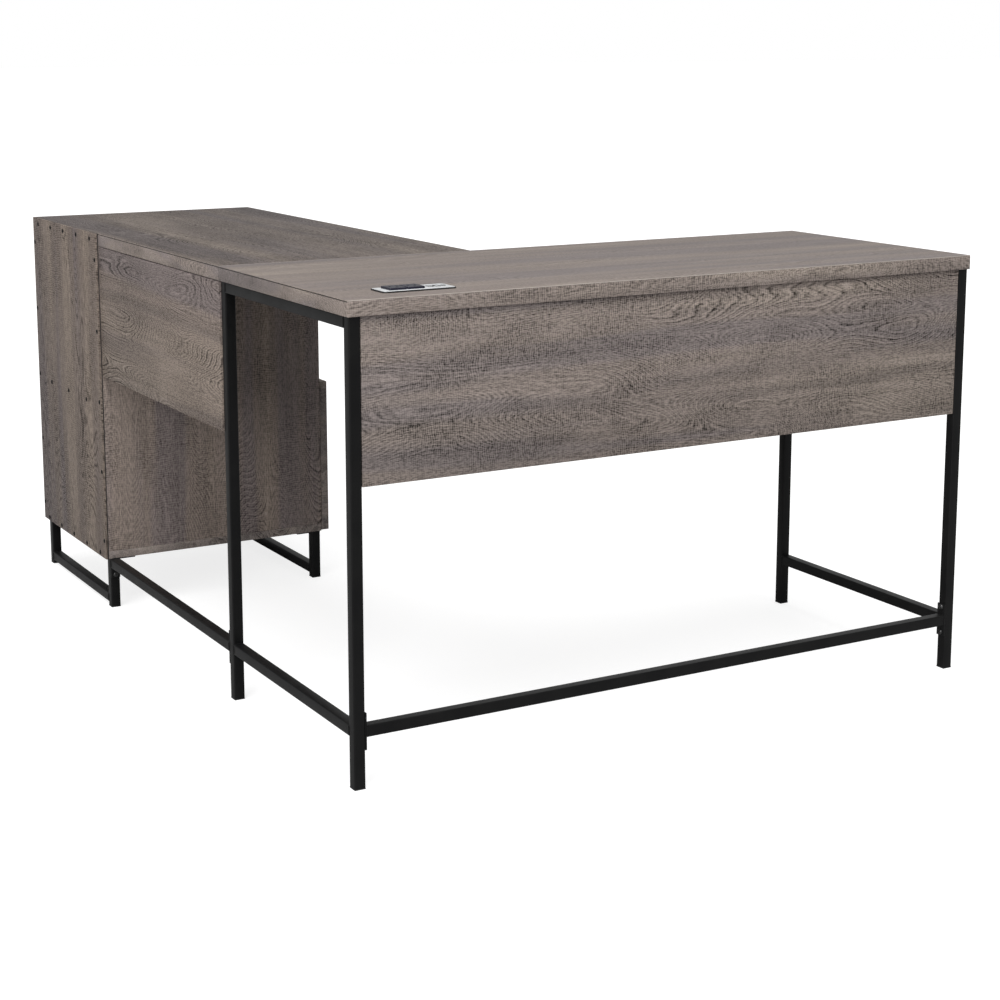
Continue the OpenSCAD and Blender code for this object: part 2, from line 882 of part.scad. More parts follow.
module cabinet_slide(side) {
    wall_y = side == 0 ? bay_y : bay_y + bay_w;
    difference() {
        slide_member(box_x, wall_y, cab_h, lip_cab, side);
        at_slide_screws(box_x) translate([0, wall_y - 2 * cut, 0]) to_y()
            cylinder(h = 4 * cut, r = wood_r + fit_gap);
    }
}

module middle_slide(side) {
    wall_y = side == 0 ? bay_y + mid_off : bay_y + bay_w - mid_off;
    slide_member(box_x, wall_y, mid_h, lip_mid, side);
}

module drawer_slide(side) {
    wall_y = side == 0 ? box_y : box_y + box_w;
    difference() {
        slide_member(box_x, wall_y, drw_h, lip_drw, 1 - side);
        at_slide_screws(box_x) translate([0, wall_y - 2 * cut, 0]) to_y()
            cylinder(h = 4 * cut, r = wood_r + fit_gap);
    }
}

module near_cabinet_slide() { color(zinc) place() cabinet_slide(0); }
module far_cabinet_slide() { color(zinc) place() cabinet_slide(1); }
module near_middle_slide() { color(zinc) place() middle_slide(0); }
module far_middle_slide() { color(zinc) place() middle_slide(1); }
module near_drawer_slide() { color(zinc) place() drawer_slide(0); }
module far_drawer_slide() { color(zinc) place() drawer_slide(1); }

module cabinet_slide_screws() {
    color(zinc) place() at_slide_screws(box_x) {
        translate([0, bay_y + web, 0]) to_minus_y() pan_screw(10, rise = 1.2);
        translate([0, bay_y + bay_w - web, 0]) to_y() pan_screw(10, rise = 1.2);
    }
}

module drawer_slide_screws() {
    color(zinc) place() at_slide_screws(box_x) {
        translate([0, box_y - web, 0]) to_y() pan_screw(box_t, rise = 1.2);
        translate([0, box_y + box_w + web, 0]) to_minus_y() pan_screw(box_t, rise = 1.2);
    }
}

// ---- power unit ----

module at_unit() { translate([unit_mid[0], unit_mid[1], desk_h]) children(); }

module at_sockets() { for (x = socket_off) translate([x, 0, 0]) children(); }

module unit_openings(grow) {
    for (x = socket_off)
        block([x - socket_l / 2 - grow, -socket_w / 2 - grow, -cut],
            [socket_l + 2 * grow, socket_w + 2 * grow, plate_t + 2 * cut]);
    for (i = [0, 1, 2])
        block([port_off[i] - port_l[i] / 2 - grow, -port_w[i] / 2 - grow, -cut],
            [port_l[i] + 2 * grow, port_w[i] + 2 * grow, plate_t + 2 * cut]);
}

module power_faceplate() {
    color(grey_plastic) place() at_unit() difference() {
        rounded_slab([unit_l, unit_w, plate_t], plate_r);
        unit_openings(fit_gap);
    }
}

module power_housing() {
    color(black_plastic) place() at_unit() difference() {
        translate([0, 0, -body_h]) rounded_slab([body_l, body_w, body_h], body_r);
        translate([0, 0, body_wall - body_h])
            rounded_slab([body_l - 2 * body_wall, body_w - 2 * body_wall, body_h],
                body_r - body_wall);
        translate([body_l / 2 - 16, 0, -body_h - cut]) cylinder(h = body_wall + 2 * cut, r = gland_r);
    }
}

// a moulded receptacle: two blade slots and a round earth hole
module ac_socket(x) {
    at_unit() translate([x, 0, plate_t + socket_rise - socket_h]) difference() {
        block([-socket_l / 2, -socket_w / 2, 0], [socket_l, socket_w, socket_h]);
        for (side = [-1, 1])
            block([side * 6.35 - blade[0] / 2, -2, socket_h - 9], [blade[0], blade[1], 10]);
        translate([0, -9, socket_h - 9]) cylinder(h = 10, r = 1.9);
    }
}

module left_ac_socket() { color(black_plastic) place() ac_socket(socket_off[0]); }
module right_ac_socket() { color(black_plastic) place() ac_socket(socket_off[1]); }

module usb_ports() {
    color(black_plastic) place() at_unit()
        for (i = [0, 1, 2])
            translate([port_off[i], 0, plate_t - 0.3 - port_h]) difference() {
                block([-port_l[i] / 2, -port_w[i] / 2, 0], [port_l[i], port_w[i], port_h]);
                block([-port_l[i] / 2 + 1.5, -port_w[i] / 2 + 1.5, port_h - 7],
                    [port_l[i] / 2 - 2.4, port_w[i] - 3, 8]);
            }
}

// sprung clips that hook on the housing's ends and bear up against the top's underside
module power_clamps() {
    color(zinc) place() at_unit()
        for (side = [0, 1]) mirror([side, 0, 0]) {
            block([body_l / 2, -clamp_w / 2, -body_h + 8], [clamp_t, clamp_w, body_h - 8 - top_t]);
            block([body_l / 2, -clamp_w / 2, -top_t - clamp_t - fit_gap],
                [12, clamp_w, clamp_t]);
        }
}

module power_cord_gland() {
    color(black_plastic) place() at_unit()
        translate([body_l / 2 - 16, 0, -body_h - gland_l]) difference() {
            union() {
                cylinder(h = gland_l, r1 = gland_r * 0.7, r2 = gland_r + 2);
                translate([0, 0, gland_l]) cylinder(h = body_wall, r = gland_r - fit_gap);
            }
            translate([0, 0, -cut]) cylinder(h = gland_l + body_wall + 2 * cut, r = gland_bore);
        }
}

main_top();
return_top();
left_end_frame();
right_end_frame();
post_foot_caps();
visitor_stretcher();
return_stretcher();
stretcher_bolts();
frame_top_screws();
main_modesty_panel();
return_modesty_panel();
corner_brackets();
bracket_screws();
seam_plates();
seam_plate_screws();
pedestal_near_side();
pedestal_far_side();
pedestal_bottom();
pedestal_shelf();
pedestal_back();
back_panel_screws();
cam_locks();
cam_bolts();
wood_dowels();
rear_sled_leg();
front_sled_leg();
sled_foot_caps();
sled_screws();
drawer_front();
drawer_box_front();
drawer_near_side();
drawer_far_side();
drawer_back();
drawer_bottom();
drawer_box_screws();
drawer_front_screws();
drawer_pull();
pull_screws();
file_rails();
near_cabinet_slide();
far_cabinet_slide();
near_middle_slide();
far_middle_slide();
near_drawer_slide();
far_drawer_slide();
cabinet_slide_screws();
drawer_slide_screws();
power_faceplate();
power_housing();
left_ac_socket();
right_ac_socket();
usb_ports();
power_clamps();
power_cord_gland();
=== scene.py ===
import bpy
import bmesh
import math
from mathutils import Matrix, Vector


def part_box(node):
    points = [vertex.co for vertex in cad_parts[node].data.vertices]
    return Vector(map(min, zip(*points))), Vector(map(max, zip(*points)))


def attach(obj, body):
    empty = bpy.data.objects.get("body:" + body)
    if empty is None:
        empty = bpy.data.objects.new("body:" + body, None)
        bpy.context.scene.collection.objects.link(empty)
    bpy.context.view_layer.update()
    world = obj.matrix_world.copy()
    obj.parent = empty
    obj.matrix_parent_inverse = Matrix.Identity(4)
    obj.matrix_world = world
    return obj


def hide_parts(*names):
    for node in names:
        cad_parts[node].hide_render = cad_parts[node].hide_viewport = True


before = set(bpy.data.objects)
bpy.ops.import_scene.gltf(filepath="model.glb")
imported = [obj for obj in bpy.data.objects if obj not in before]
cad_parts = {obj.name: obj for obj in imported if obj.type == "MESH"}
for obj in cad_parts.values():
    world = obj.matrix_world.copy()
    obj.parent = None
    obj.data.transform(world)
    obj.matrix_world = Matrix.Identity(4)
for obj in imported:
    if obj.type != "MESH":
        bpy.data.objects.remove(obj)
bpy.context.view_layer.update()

# ---------------------------------------------------------------------------
# Studio: a large pale floor under an even white sky, with a wide light overhead,
# a lower one from the corner side and a faint one from the room. Places on the
# desk are counted in millimetres from its outer corner on the floor.
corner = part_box("main_top")[0]


def at(x, y, z):
    return Vector((corner[0] + x / 1000, corner[1] + y / 1000, z / 1000))


def soft_sun(name, toward, strength, spread):
    lamp = bpy.data.lights.new(name, "SUN")
    lamp.energy = strength
    lamp.angle = math.radians(spread)
    holder = bpy.data.objects.new(name, lamp)
    holder.rotation_euler = Vector(toward).to_track_quat("-Z", "Y").to_euler()
    bpy.context.collection.objects.link(holder)


soft_sun("overhead_light", (0.26, 0.30, -0.92), 3.0, 45)
soft_sun("low_side_light", (0.70, 0.56, -0.32), 1.35, 30)
soft_sun("room_light", (-0.55, -0.45, -0.70), 0.45, 70)

# the sky is white to the camera, and gives the desk less light than that
sky = bpy.data.worlds.new("even_white_sky")
sky.use_nodes = True
sky_tree = sky.node_tree
sky_light = sky_tree.nodes["Background"]
sky_light.inputs["Color"].default_value = (1.0, 1.0, 1.0, 1.0)
sky_light.inputs["Strength"].default_value = 0.24
sky_seen = sky_tree.nodes.new("ShaderNodeBackground")
sky_seen.inputs["Color"].default_value = (1.0, 1.0, 1.0, 1.0)
sky_seen.inputs["Strength"].default_value = 1.0
sky_mix = sky_tree.nodes.new("ShaderNodeMixShader")
sky_ray = sky_tree.nodes.new("ShaderNodeLightPath")
sky_tree.links.new(sky_ray.outputs["Is Camera Ray"], sky_mix.inputs[0])
sky_tree.links.new(sky_light.outputs[0], sky_mix.inputs[1])
sky_tree.links.new(sky_seen.outputs[0], sky_mix.inputs[2])
sky_tree.links.new(sky_mix.outputs[0], sky_tree.nodes["World Output"].inputs[0])
bpy.context.scene.world = sky
bpy.context.scene.view_settings.view_transform = "Standard"
bpy.context.scene.view_settings.look = "None"

lens_holder = bpy.data.cameras.new("desk_camera")
lens_holder.lens = 71.07
lens_holder.sensor_width = 36.0
lens_holder.shift_y = -0.12
lens_holder.clip_end = 200.0
downward_tilt = math.radians(9.987)
turn_to_desk = math.radians(-29.788)
camera = bpy.data.objects.new("desk_camera", lens_holder)
camera.location = at(-1235.6, -2610.4, 1150.9)
camera.rotation_euler = (math.radians(90) - downward_tilt, 0, turn_to_desk)
bpy.context.collection.objects.link(camera)
bpy.context.scene.camera = camera


def shader(tree, kind, sockets=(), **settings):
    node = tree.nodes.new("ShaderNode" + kind)
    for key, value in settings.items():
        setattr(node, key, value)
    for key, value in dict(sockets).items():
        if isinstance(value, bpy.types.NodeSocket):
            tree.links.new(value, node.inputs[key])
        else:
            node.inputs[key].default_value = value
    return node


def calc(tree, operation, a, b=0.0, c=0.0):
    return shader(tree, "Math", {0: a, 1: b, 2: c}, operation=operation).outputs[0]


def ease(tree, value, low, high, start=0.0, end=1.0):
    sockets = {"Value": value, "From Min": low, "From Max": high, "To Min": start, "To Max": end}
    return shader(tree, "MapRange", sockets, interpolation_type="SMOOTHSTEP").outputs[0]


def mix(tree, factor, first, second, blend="MIX"):
    node = shader(tree, "Mix", data_type="RGBA", blend_type=blend)
    for socket, value in ((node.inputs[0], factor), (node.inputs[6], first), (node.inputs[7], second)):
        if isinstance(value, bpy.types.NodeSocket):
            tree.links.new(value, socket)
        else:
            socket.default_value = value
    return node.outputs[2]


def blank_finish(name):
    made = bpy.data.materials.new(name)
    made.use_nodes = True
    tree = made.node_tree
    tree.nodes.clear()
    surface = shader(tree, "BsdfPrincipled")
    output = shader(tree, "OutputMaterial", {"Surface": surface.outputs[0]})
    output.location = (400, 0)
    return made, tree, surface


def noise(tree, vector, scale=1.0, detail=2.0, roughness=0.5, distortion=0.0):
    sockets = {"Vector": vector, "Scale": scale, "Detail": detail, "Roughness": roughness}
    sockets["Distortion"] = distortion
    return shader(tree, "TexNoise", sockets).outputs["Fac"]


floor_finish, floor_tree, floor_surface = blank_finish("pale_studio_floor")
floor_place = shader(floor_tree, "TexCoord").outputs["Object"]
floor_cloud = noise(floor_tree, floor_place, 0.7, 3.0)
floor_tone = ease(floor_tree, floor_cloud, 0.3, 0.7, 0.345, 0.355)
floor_tree.links.new(
    shader(floor_tree, "CombineColor", {0: floor_tone, 1: floor_tone, 2: floor_tone}).outputs[0],
    floor_surface.inputs["Base Color"],
)
# the camera alone sees the floor lifted to white
floor_surface.inputs["Roughness"].default_value = 0.9
floor_surface.inputs["Specular IOR Level"].default_value = 0.0
floor_surface.inputs["Emission Color"].default_value = (1.0, 1.0, 1.0, 1.0)
floor_seen = shader(floor_tree, "LightPath").outputs["Is Camera Ray"]
seen_glow = 0.80
floor_glow = calc(floor_tree, "MULTIPLY", floor_seen, seen_glow)
floor_tree.links.new(floor_glow, floor_surface.inputs["Emission Strength"])

floor_reach = 60.0
ground = bmesh.new()
bmesh.ops.create_grid(ground, x_segments=1, y_segments=1, size=floor_reach)
ground_mesh = bpy.data.meshes.new("studio_floor")
ground.to_mesh(ground_mesh)
ground.free()
ground_mesh.materials.append(floor_finish)
studio_floor = bpy.data.objects.new("studio_floor", ground_mesh)
bpy.context.collection.objects.link(studio_floor)


# ---------------------------------------------------------------------------
# Tops: two 25 mm particle boards faced with a printed and embossed grey-oak
# laminate, and edged with a thin band whose glue line shows as a fine groove. The groove
# is painted dark on the end faces, a glue line with painted shade, and a pale strip above it
# along the front edge is a painted highlight.
# The main top has a cut-out for the power unit.
def grey_oak(name, axes, shift, depth=1.0, figure=1.0, tint=1.0, warm=1.0, coarse=1.0):
    """Laminate, with the names of the object's axes along, across and through the grain.

    depth is the contrast of the whole print, figure that of its growth rings, and coarse
    the size of the pattern. shift moves the pattern, so that no two boards repeat. tint
    scales the whole colour of the board: painted light and shade, set board by board to
    how light falls on it.
    """
    made, tree, surface = blank_finish(name)
    split = shader(tree, "SeparateXYZ", {0: shader(tree, "TexCoord").outputs["Object"]})
    u, v, w = (split.outputs[axis[0]] for axis in axes)
    if len(axes[0]) == 2:
        u = calc(tree, "ADD", u, split.outputs[axes[0][1]])
    u, v, w = (
        calc(tree, "MULTIPLY_ADD", value, 1 / coarse, start)
        for value, start in zip((u, v, w), shift)
    )

    def stretched(a, b, c):
        parts = {0: calc(tree, "MULTIPLY", u, a), 1: calc(tree, "MULTIPLY", v, b)}
        parts[2] = calc(tree, "MULTIPLY", w, c)
        return shader(tree, "CombineXYZ", parts).outputs[0]

    # growth rings: 150 lines to the metre, bent by a long smooth field and shaken by a finer one
    field = noise(tree, stretched(2.2, 10.0, 3.0), 1.0, 1.0, 0.35)
    shake = noise(tree, stretched(14.0, 70.0, 20.0), 1.0, 2.0, 0.55)
    rings = calc(tree, "MULTIPLY", field, 62.0)
    rings = calc(tree, "MULTIPLY_ADD", v, 150.0, rings)
    rings = calc(tree, "MULTIPLY_ADD", shake, 1.1, rings)
    tooth = calc(tree, "FRACT", rings)
    ring_patch = ease(tree, noise(tree, stretched(2.6, 16.0, 5.0), 1.0, 2.0), 0.42, 0.56, 0.06, 1.0)
    ring = calc(tree, "MULTIPLY", ease(tree, tooth, 0.56, 0.82), ease(tree, tooth, 0.88, 1.0, 1.0, 0.0))
    ring = calc(tree, "MULTIPLY", ring, ring_patch)
    # painted highlight: the print is made lighter just past each ring line, as if its embossed edge
    # caught the light; the same mask also raises the emboss
    ring_emboss_and_painted_highlight = calc(tree, "MULTIPLY", ease(tree, tooth, 0.02, 0.30, 1.0, 0.0), ring_patch)

    # saw marks: close lines across the grain that wander, break and fade, 3.6 mm apart
    mark_phase = 1750.0
    wander = noise(tree, stretched(24.0, 20.0, 20.0), 1.0, 2.0)
    breaks = noise(tree, stretched(260.0, 75.0, 75.0), 1.0, 1.0)
    mark = calc(tree, "MULTIPLY_ADD", wander, 26.0, calc(tree, "MULTIPLY", u, mark_phase))
    mark = calc(tree, "MULTIPLY_ADD", breaks, 9.0, mark)
    tick = ease(tree, calc(tree, "SINE", mark), -0.5, 1.0)
    tick_patch = ease(tree, noise(tree, stretched(7.0, 17.0, 9.0), 1.0, 1.0), 0.36, 0.64, 0.30, 1.0)
    tick = calc(tree, "MULTIPLY", tick, tick_patch)

    # open pores, loose fibre, and fine lines that follow the growth rings
    pore = ease(tree, noise(tree, stretched(150.0, 700.0, 700.0), 1.0, 0.0), 0.45, 0.62)
    fibre = noise(tree, stretched(9.0, 280.0, 300.0), 1.0, 3.0, 0.66)
    line_phase = calc(tree, "MULTIPLY_ADD", fibre, 7.0, calc(tree, "MULTIPLY", rings, 12.6))
    fine_line = calc(tree, "SINE", line_phase)

    # broad soft bands of three greys, and narrower streaks within them
    band = noise(tree, stretched(0.8, 15.0, 4.0), 1.0, 2.2, 0.5)
    streak = noise(tree, stretched(1.1, 52.0, 14.0), 1.0, 1.5, 0.5)
    # tint makes the whole board lighter or darker: painted light and shade
    cool = tuple(c * tint for c in (0.172, 0.150 / warm, 0.143 / warm)) + (1.0,)
    taupe = tuple(c * tint for c in (0.206, 0.176 / warm, 0.160 / warm ** 2)) + (1.0,)
    tan = tuple(c * tint for c in (0.252, 0.216 / warm, 0.190 / warm ** 2)) + (1.0,)
    colour = mix(tree, ease(tree, band, 0.38, 0.50), cool, taupe)
    colour = mix(tree, ease(tree, band, 0.52, 0.64), colour, tan)
    knot = ease(tree, noise(tree, stretched(1.6, 26.0, 6.0), 1.0, 2.0), 0.57, 0.74, 0.0, 0.35)
    colour = mix(tree, knot, colour, (0.125, 0.105, 0.097, 1.0))

    # all the marks together darken or light the print, and the same marks are embossed; the lightening
    # beside each ring line is a painted highlight
    dark = calc(tree, "MULTIPLY", ring, 0.36 * figure * depth)
    dark = calc(tree, "MULTIPLY_ADD", ring_emboss_and_painted_highlight, -0.14 * figure * depth, dark)
    dark = calc(tree, "MULTIPLY_ADD", tick, 0.42 * depth, dark)
    dark = calc(tree, "MULTIPLY_ADD", pore, 0.34 * depth, dark)
    dark = calc(tree, "MULTIPLY_ADD", fine_line, 0.15 * depth, dark)
    dark = calc(tree, "MULTIPLY_ADD", calc(tree, "SUBTRACT", fibre, 0.5), 0.60 * depth, dark)
    dark = calc(tree, "MULTIPLY_ADD", calc(tree, "SUBTRACT", streak, 0.5), 0.32 * depth, dark)
    tone = calc(tree, "SUBTRACT", 1.20 + 0.08 * depth, dark)
    shade = shader(tree, "CombineColor", {0: tone, 1: tone, 2: tone}).outputs[0]
    tree.links.new(mix(tree, 1.0, colour, shade, "MULTIPLY"), surface.inputs["Base Color"])

    height = calc(tree, "SUBTRACT", 1.0, dark)
    bump = shader(tree, "Bump", {"Height": height, "Strength": 0.7, "Distance": 0.00040})
    tree.links.new(bump.outputs[0], surface.inputs["Normal"])
    rough = calc(tree, "MULTIPLY_ADD", dark, 0.25, 0.52)
    tree.links.new(rough, surface.inputs["Roughness"])
    surface.inputs["Specular IOR Level"].default_value = 0.22
    return made


def finish_piece(name, shape, finishes, body, nodes=()):
    """Turn a bmesh into a named piece on its body, smooth but for its sharper creases."""
    crease = math.radians(35)
    bmesh.ops.recalc_face_normals(shape, faces=shape.faces)
    for face in shape.faces:
        face.smooth = True
    for edge in shape.edges:
        edge.smooth = len(edge.link_faces) != 2 or edge.calc_face_angle(0.0) <= crease
    mesh = bpy.data.meshes.new(name)
    shape.to_mesh(mesh)
    shape.free()
    for finish in finishes:
        mesh.materials.append(finish)
    piece = bpy.data.objects.new(name, mesh)
    bpy.context.collection.objects.link(piece)
    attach(piece, body)
    if nodes:
        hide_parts(*nodes)


def block(shape, low, high, ease_width, steps=2):
    """A box between two corners with every edge eased."""
    low, high = Vector(low), Vector(high)
    made = bmesh.ops.create_cube(shape, size=1.0)["verts"]
    bmesh.ops.scale(shape, vec=high - low, verts=made)
    bmesh.ops.translate(shape, vec=(low + high) / 2, verts=made)
    edges = list({edge for vert in made for edge in vert.link_edges})
    bmesh.ops.bevel(
        shape, geom=edges, offset=ease_width, offset_type="OFFSET", affect="EDGES",
        segments=steps, profile=0.5, material=-1,
    )


def edge_band(shape, level, deep=0.0006, half=0.0008):
    """Band the sides, with a fine glue groove at one height, painted dark on the end faces (glue line and
    painted shade), and a painted highlight on the front edge above it.
    """
    band, glue_and_shade, painted_highlight_edge = 1, 2, 3
    for step in (-half, 0.0, half):
        bmesh.ops.bisect_plane(
            shape, geom=shape.verts[:] + shape.edges[:] + shape.faces[:],
            plane_co=(0, 0, level + step), plane_no=(0, 0, 1), dist=1e-6,
        )
    shape.normal_update()
    ring = [vert for vert in shape.verts if abs(vert.co.z - level) < 1e-6]
    inward = {vert: Vector((vert.normal.x, vert.normal.y, 0)).normalized() for vert in ring}
    for vert in ring:
        vert.co -= inward[vert] * deep
    for face in shape.faces:
        height = face.calc_center_median().z
        if abs(face.normal.z) < 0.5:
            face.material_index = band
        # end faces of the groove: a dark glue line, painted dark as shade; the front gets no dark line
        if abs(height - level) < half and abs(face.normal.x) > 0.5:
            face.material_index = glue_and_shade
        # front faces above the groove: a paler strip, painted highlight of the eased edge catching the
        # light
        if height > level + half and face.normal.y < -0.3:
            face.material_index = painted_highlight_edge


# the tints of these laminates are painted light and shade: the return top is set darker and the edge band
# lighter than the main top, each to how light falls on it
oak_main = grey_oak(
    "grey_oak_main_top", ("X", "Y", "Z"), (3.1, 1.7, 0.4),
    depth=0.48, figure=0.6, tint=0.885, warm=1.02, coarse=1.1,
)
oak_return = grey_oak(
    "grey_oak_return_top", ("Y", "X", "Z"), (7.3, 4.1, 1.1),
    depth=1.05, figure=0.8, tint=0.535, warm=1.03, coarse=1.2,
)
oak_band = grey_oak(
    "grey_oak_edge_band", ("XY", "Z", "Y"), (5.9, 0.8, 3.7),
    depth=1.20, figure=0.0, tint=1.36, warm=1.02,
)
# dark glue and painted shade: in the tops' glue groove on their ends, and as painted shadow along the
# back panel's edge
glue_line_and_painted_shade, glue_shade_tree, glue_shade_surface = blank_finish("dark_glue_and_painted_shade")
glue_shade_cloud = noise(glue_shade_tree, shader(glue_shade_tree, "TexCoord").outputs["Object"], 300.0)
glue_shade_tint = mix(glue_shade_tree, glue_shade_cloud, (0.020, 0.017, 0.016, 1), (0.036, 0.031, 0.028, 1))
glue_shade_tree.links.new(glue_shade_tint, glue_shade_surface.inputs["Base Color"])
glue_shade_surface.inputs["Roughness"].default_value = 0.8
# painted highlight: a paler finish for the front edge of the tops
painted_highlight_finish, highlight_tree, highlight_surface = blank_finish("painted_edge_highlight")
highlight_cloud = noise(highlight_tree, shader(highlight_tree, "TexCoord").outputs["Object"], 120.0)
highlight_tint = mix(highlight_tree, highlight_cloud, (0.34, 0.30, 0.27, 1), (0.44, 0.39, 0.35, 1))
highlight_tree.links.new(highlight_tint, highlight_surface.inputs["Base Color"])
highlight_surface.inputs["Roughness"].default_value = 0.6

board_ease = 0.0008
face_thick = 0.0019
hole_gap = 0.0015
main_low, main_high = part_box("main_top")
unit_low, unit_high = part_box("power_housing")
main_top = bmesh.new()
block(main_top, main_low, main_high, board_ease)
edge_band(main_top, main_high[2] - face_thick)
for axis, spots in ((0, (unit_low[0] - hole_gap, unit_high[0] + hole_gap)),
                    (1, (unit_low[1] - hole_gap, unit_high[1] + hole_gap))):
    for spot in spots:
        plane = Vector((0, 0, 0))
        plane[axis] = 1.0
        bmesh.ops.bisect_plane(
            main_top, geom=main_top.verts[:] + main_top.edges[:] + main_top.faces[:],
            plane_co=plane * spot, plane_no=plane, dist=1e-6,
        )
hole = [
    face for face in main_top.faces
    if unit_low[0] < face.calc_center_median().x < unit_high[0]
    and unit_low[1] < face.calc_center_median().y < unit_high[1]
]
rims = {edge for face in hole for edge in face.edges}
bmesh.ops.delete(main_top, geom=hole, context="FACES_ONLY")
bmesh.ops.bridge_loops(main_top, edges=[edge for edge in rims if edge.is_valid])
main_finishes = [oak_main, oak_band, glue_line_and_painted_shade, painted_highlight_finish]
finish_piece("main_top_board", main_top, main_finishes, "desk", ["main_top"])

return_low, return_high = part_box("return_top")
return_top = bmesh.new()
block(return_top, return_low, return_high, board_ease)
edge_band(return_top, return_high[2] - face_thick)
return_finishes = [oak_return, oak_band, glue_line_and_painted_shade, painted_highlight_finish]
finish_piece("return_top_board", return_top, return_finishes, "desk", ["return_top"])


# ---------------------------------------------------------------------------
# Joining plates and angle brackets: pressed zinc-plated steel under the tops,
# with their pan-head screws. They keep the shapes they were drilled with.
def zinc_steel(name, along):
    made, tree, surface = blank_finish(name)
    split = shader(tree, "SeparateXYZ", {0: shader(tree, "TexCoord").outputs["Object"]})
    scales = {0: 300.0, 1: 300.0, 2: 300.0}
    scales["XYZ".index(along)] = 12.0
    parts = {i: calc(tree, "MULTIPLY", split.outputs[i], scales[i]) for i in range(3)}
    grain = noise(tree, shader(tree, "CombineXYZ", parts).outputs[0], 1.0, 3.0, 0.6)
    cloud = noise(tree, shader(tree, "TexCoord").outputs["Object"], 55.0, 3.0)
    tint = mix(tree, ease(tree, cloud, 0.35, 0.68), (0.44, 0.45, 0.47, 1), (0.60, 0.61, 0.62, 1))
    tree.links.new(tint, surface.inputs["Base Color"])
    surface.inputs["Metallic"].default_value = 1.0
    tree.links.new(ease(tree, grain, 0.3, 0.7, 0.28, 0.46), surface.inputs["Roughness"])
    bump = shader(tree, "Bump", {"Height": grain, "Strength": 0.15, "Distance": 0.0001})
    tree.links.new(bump.outputs[0], surface.inputs["Normal"])
    return made


def refinish(node, finish):
    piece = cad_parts[node]
    for place in piece.material_slots:
        place.material = finish
    if not piece.material_slots:
        piece.data.materials.append(finish)


zinc_plate = zinc_steel("zinc_plate", "X")
for node in ("corner_brackets", "bracket_screws", "seam_plates", "seam_plate_screws"):
    refinish(node, zinc_plate)


# ---------------------------------------------------------------------------
# End frames and stretchers: 19 mm square steel tube with rounded corners,
# welded, powder-coated satin black. Plastic caps with a thin flange close the
# post ends, and domed socket bolts fix the stretchers' end plates.
def black_coat(name):
    made, tree, surface = blank_finish(name)
    place = shader(tree, "TexCoord").outputs["Object"]
    peel = noise(tree, place, 900.0, 2.0, 0.5)
    cloud = noise(tree, place, 18.0, 3.0, 0.55)
    patches = ease(tree, cloud, 0.3, 0.7)
    tint = mix(tree, patches, (0.0045, 0.0045, 0.0048, 1), (0.0070, 0.0070, 0.0070, 1))
    tree.links.new(tint, surface.inputs["Base Color"])
    tree.links.new(ease(tree, cloud, 0.25, 0.75, 0.36, 0.46), surface.inputs["Roughness"])
    bump = shader(tree, "Bump", {"Height": peel, "Strength": 0.18, "Distance": 0.00012})
    tree.links.new(bump.outputs[0], surface.inputs["Normal"])
    surface.inputs["Specular IOR Level"].default_value = 0.20
    return made


def moulded_black(name, tone=0.011, blue=1.05, smooth=0.0):
    """Fine-grained black plastic; smooth takes that much off its roughness."""
    made, tree, surface = blank_finish(name)
    place = shader(tree, "TexCoord").outputs["Object"]
    spark = noise(tree, place, 1600.0, 2.0)
    cloud = noise(tree, place, 40.0, 2.0)
    low = (tone * 0.8, tone * 0.8, tone * 0.8 * blue, 1)
    high = (tone * 1.3, tone * 1.3, tone * 1.3 * blue, 1)
    tree.links.new(mix(tree, ease(tree, cloud, 0.3, 0.7), low, high), surface.inputs["Base Color"])
    tree.links.new(ease(tree, spark, 0.3, 0.7, 0.48 - smooth, 0.62 - smooth), surface.inputs["Roughness"])
    bump = shader(tree, "Bump", {"Height": spark, "Strength": 0.2, "Distance": 0.0001})
    tree.links.new(bump.outputs[0], surface.inputs["Normal"])
    return made


tube = 0.019
tube_corner = 0.0022
low_rail_z = 83
coat = black_coat("satin_black_powder_coat")
cap_plastic = moulded_black("black_cap_plastic")


def square_tube(shape, low, high):
    """A length of square tube: only the long edges are rounded, the cut ends stay square."""
    low, high = Vector(low), Vector(high)
    size = high - low
    run = max(range(3), key=lambda axis: size[axis])
    made = bmesh.ops.create_cube(shape, size=1.0)["verts"]
    bmesh.ops.scale(shape, vec=size, verts=made)
    bmesh.ops.translate(shape, vec=(low + high) / 2, verts=made)
    edges = {edge for vert in made for edge in vert.link_edges}
    long_edges = [
        edge for edge in edges
        if abs((edge.verts[0].co - edge.verts[1].co)[run]) > size[run] * 0.9
    ]
    bmesh.ops.bevel(
        shape, geom=long_edges, offset=tube_corner, offset_type="OFFSET", affect="EDGES",
        segments=4, profile=0.5, material=-1,
    )


def weld_bead(shape, start, end, thick=0.0011):
    """A short rippled bead of weld laid along a joint."""
    start, end = Vector(start), Vector(end)
    length = (end - start).length
    turn = (end - start).to_track_quat("Z", "Y").to_matrix().to_4x4()
    made = bmesh.ops.create_cone(
        shape, cap_ends=True, cap_tris=False, segments=8, radius1=thick, radius2=thick,
        depth=length, matrix=Matrix.Translation((start + end) / 2) @ turn,
    )["verts"]
    run = (end - start).normalized()
    geom = made + list({e for v in made for e in v.link_edges})
    geom += list({f for v in made for f in v.link_faces})
    ripples = 9
    for i in range(1, ripples):
        spot = start + run * (length * i / ripples)
        cut = bmesh.ops.bisect_plane(shape, geom=geom, plane_co=spot, plane_no=run, dist=1e-7)
        geom = cut["geom"]
        ring = [part for part in cut["geom_cut"] if isinstance(part, bmesh.types.BMVert)]
        swell = 1.18 if i % 2 else 0.88
        bmesh.ops.scale(shape, vec=(swell,) * 3, space=Matrix.Translation(-spot), verts=ring)


